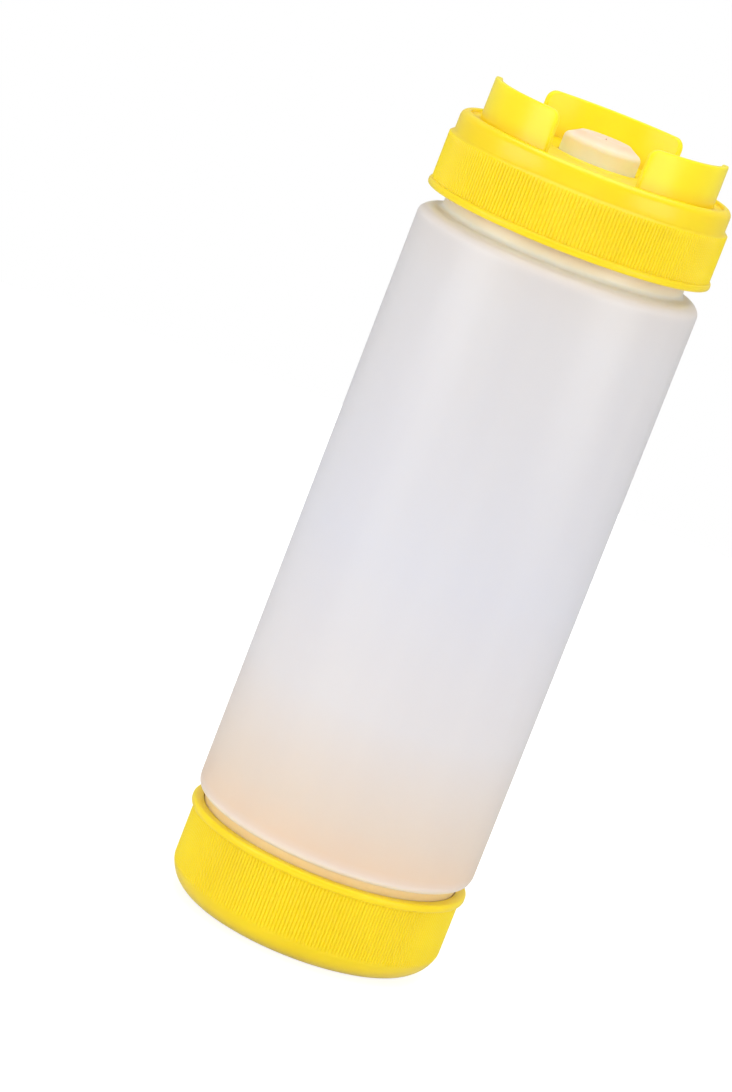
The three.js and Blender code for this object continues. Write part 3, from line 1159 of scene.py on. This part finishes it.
# %% Rings with softened edges
def make_ring(name, node, inner, edge, material, body):
    low, high = (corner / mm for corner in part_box(node))
    outer = high.x
    skin = Skin()
    skin.rows(arc(inner + edge, low.z + edge, edge, 180, 270, edge_steps))
    skin.rows(arc(outer - edge, low.z + edge, edge, -90, 0, edge_steps))
    skin.rows(arc(outer - edge, high.z - edge, edge, 0, 90, edge_steps))
    skin.rows(arc(inner + edge, high.z - edge, edge, 90, 180, edge_steps))
    skin.close()
    piece = skin.made(name)
    piece.data.materials.append(material)
    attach(piece, body)
    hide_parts(node)
    print(name, round(2 * outer, 1), "mm across")


# %% Clamping ring
clamp_inner = 9.6
clamp_edge = 0.35
make_ring(
    "clamping_ring",
    "valve_retaining_ring",
    clamp_inner,
    clamp_edge,
    natural,
    "dispensing_cap",
)

# %% Gaskets
gasket_lap = 0.65
gasket_edge = 0.3
for end in ("dispensing", "refill"):
    make_ring(
        end + "_gasket_ring",
        end + "_cap_gasket",
        neck_inner - gasket_lap,
        gasket_edge,
        gasket,
        end + "_seal",
    )

# %% [markdown]
# ## Studio
#
# The photograph has a plain white ground and light so soft that it leaves hardly a shadow. Two
# wide panels stand left and right of the camera and show as broad soft highlights. A third
# hangs overhead. Two more, in front and behind, reach under the cap and into the crown, and are
# kept out of reflections. The panels are large, so every shadow has a soft edge.
#
# A photographer darkens the edges of pale plastic with grey cards round it. Here the floor and
# the sky are half as bright to glossy rays as the white ground, which gives the bottle its soft
# grey outline, and the side of the room with the camera is darker still, which gives the deeper
# patch in the middle of the cap's smooth ring.
#
# The white ground comes from the materials and not from more light: rays from the camera see
# the floor as a mix of its lit surface and plain white, so the object's shadow stays.

# %% How bright the room looks
room_gloss = 0.5
card_gloss = 0.15
card_from = -0.95
card_to = -0.65
floor_grey = 0.86
ground_glow = 1.5
ground_share = 0.55
sky_light = 0.6
pure_white = (1, 1, 1, 1)
print("glossy rays see a room of strength", room_gloss)


# %% Two looks for two kinds of ray
def either(nodes, links, factor, usual, other):
    """The usual shader where the factor is 0, and the other one where it is 1."""
    mix = nodes.new("ShaderNodeMixShader")
    links.new(factor, mix.inputs["Fac"])
    links.new(usual, mix.inputs[1])
    links.new(other, mix.inputs[2])
    return mix.outputs["Shader"]


def glossy_rays(nodes):
    return nodes.new("ShaderNodeLightPath").outputs["Is Glossy Ray"]


def seen_rays(nodes, links):
    """1 for rays that show the ground itself: from the camera and through the plastic."""
    path = nodes.new("ShaderNodeLightPath")
    both = nodes.new("ShaderNodeMath")
    both.operation = "MAXIMUM"
    links.new(path.outputs["Is Camera Ray"], both.inputs[0])
    links.new(path.outputs["Is Transmission Ray"], both.inputs[1])
    return both.outputs["Value"]


# %% Finish of the floor
def floor_finish():
    material = bpy.data.materials.new("white_floor")
    material.use_nodes = True
    nodes = material.node_tree.nodes
    links = material.node_tree.links
    nodes.clear()
    lit = nodes.new("ShaderNodeBsdfDiffuse")
    lit.inputs["Color"].default_value = (floor_grey, floor_grey, floor_grey, 1)
    gloss = nodes.new("ShaderNodeEmission")
    gloss.inputs["Strength"].default_value = room_gloss
    lit_or_gloss = either(nodes, links, glossy_rays(nodes), lit.outputs[0], gloss.outputs[0])
    plain = nodes.new("ShaderNodeEmission")
    plain.inputs["Strength"].default_value = ground_glow
    share = nodes.new("ShaderNodeMath")
    share.operation = "MULTIPLY"
    share.inputs[1].default_value = ground_share
    links.new(seen_rays(nodes, links), share.inputs[0])
    mixed = either(nodes, links, share.outputs["Value"], lit_or_gloss, plain.outputs[0])
    out = nodes.new("ShaderNodeOutputMaterial")
    links.new(mixed, out.inputs["Surface"])
    return material


# %% Floor
floor_radius = 0.7
floor_drop = 0.00005
floor_sides = 64


def make_floor():
    mesh = bpy.data.meshes.new("floor")
    angles = circle(floor_sides)
    edge = [(floor_radius * math.cos(a), floor_radius * math.sin(a), -floor_drop) for a in angles]
    mesh.from_pydata(edge, [], [list(range(floor_sides))])
    floor = bpy.data.objects.new("floor", mesh)
    scene.collection.objects.link(floor)
    floor.data.materials.append(floor_finish())


make_floor()
print("floor radius", floor_radius, "m")


# %% What gloss sees of the sky
def camera_side(nodes, links):
    """The strength that gloss sees by direction: low on the side of the room with the camera."""
    direction = nodes.new("ShaderNodeTexCoord")
    split = nodes.new("ShaderNodeSeparateXYZ")
    dark = nodes.new("ShaderNodeMapRange")
    dark.interpolation_type = "SMOOTHSTEP"
    dark.inputs["From Min"].default_value = card_from
    dark.inputs["From Max"].default_value = card_to
    dark.inputs["To Min"].default_value = card_gloss
    dark.inputs["To Max"].default_value = room_gloss
    links.new(direction.outputs["Generated"], split.inputs["Vector"])
    links.new(split.outputs["Y"], dark.inputs["Value"])
    return dark.outputs["Result"]


# %% Sky that lights the object softly and looks white
def make_sky():
    world = bpy.data.worlds.new("white_room")
    world.use_nodes = True
    nodes = world.node_tree.nodes
    links = world.node_tree.links
    nodes.clear()
    light = nodes.new("ShaderNodeBackground")
    light.inputs["Strength"].default_value = sky_light
    light.inputs["Color"].default_value = pure_white
    gloss = nodes.new("ShaderNodeBackground")
    links.new(camera_side(nodes, links), gloss.inputs["Strength"])
    lit_or_gloss = either(nodes, links, glossy_rays(nodes), light.outputs[0], gloss.outputs[0])
    white = nodes.new("ShaderNodeBackground")
    white.inputs["Color"].default_value = pure_white
    mixed = either(nodes, links, seen_rays(nodes, links), lit_or_gloss, white.outputs[0])
    out = nodes.new("ShaderNodeOutputWorld")
    links.new(mixed, out.inputs["Surface"])
    scene.world = world


make_sky()
print("sky:", scene.world.name)


# %% Soft light panels
panel_aim = (0, 0, 0.1)


def panel(name, place, width, height, power, mirrored=True):
    light = bpy.data.lights.new(name, "AREA")
    light.shape = "RECTANGLE"
    light.size = width
    light.size_y = height
    light.energy = power
    lamp = bpy.data.objects.new(name, light)
    lamp.location = place
    aim = Vector(panel_aim) - Vector(place)
    lamp.rotation_euler = aim.to_track_quat("-Z", "Y").to_euler()
    lamp.visible_camera = False
    lamp.visible_glossy = mirrored
    scene.collection.objects.link(lamp)
    print(name, "gives", power, "W")


panel("left_panel", (-1.13, -0.72, 0.3), width=0.9, height=0.55, power=4.2)
panel("right_panel", (1.13, -0.72, 0.3), width=0.9, height=0.55, power=3.7)
panel("overhead_panel", (0, 0.1, 1.4), width=1.4, height=1.2, power=11.0)
panel("front_panel", (0, -1.15, 0.52), width=0.9, height=0.4, power=2.8, mirrored=False)
panel("back_panel", (0, 1.3, 0.45), width=1.2, height=0.7, power=4, mirrored=False)
